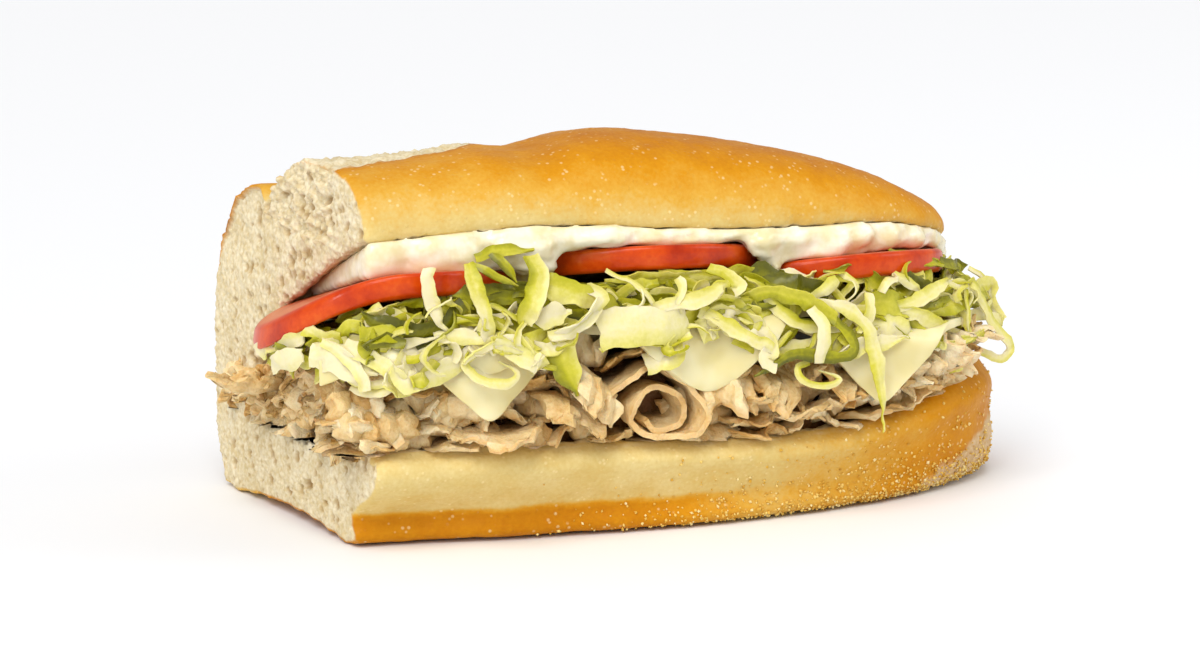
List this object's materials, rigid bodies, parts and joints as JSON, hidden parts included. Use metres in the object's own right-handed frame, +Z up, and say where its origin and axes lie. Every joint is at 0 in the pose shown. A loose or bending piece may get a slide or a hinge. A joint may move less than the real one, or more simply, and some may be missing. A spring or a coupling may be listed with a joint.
{
  "type": "submarine sandwich",
  "caption": "Half a submarine sandwich, cut across: soft hinge-cut roll with shaved meat, cheese slices, shredded lettuce, tomato slices and mayonnaise showing at the open side",
  "frame": {"origin": "middle of the footprint of the whole sandwich, on the surface it rests on", "axes": "+X along the roll from the knife cut to the heel, +Y from the open side to the hinge, +Z up"},
  "size_m": [0.1936, 0.0988, 0.0891],
  "materials": {
    "bread": "baked wheat crust, golden to orange brown, with pale open crumb at the cut",
    "meat": "thin shaved roast poultry, moist and matte",
    "cheese": "pale sliced cheese, smooth and slightly waxy",
    "lettuce": "crisp shredded lettuce, pale green with cream ribs",
    "tomato": "wet red tomato skin and flesh",
    "mayonnaise": "thick glossy cream sauce"
  },
  "bodies": {
    "root": {"roll": "bread", "shaved_meat": "meat", "cheese_slice_1": "cheese", "cheese_slice_2": "cheese", "cheese_slice_3": "cheese", "cheese_slice_4": "cheese", "shredded_lettuce": "lettuce", "tomato_slice_1": "tomato", "tomato_slice_2": "tomato", "tomato_slice_3": "tomato", "mayonnaise": "mayonnaise"}
  },
  "joints": []
}
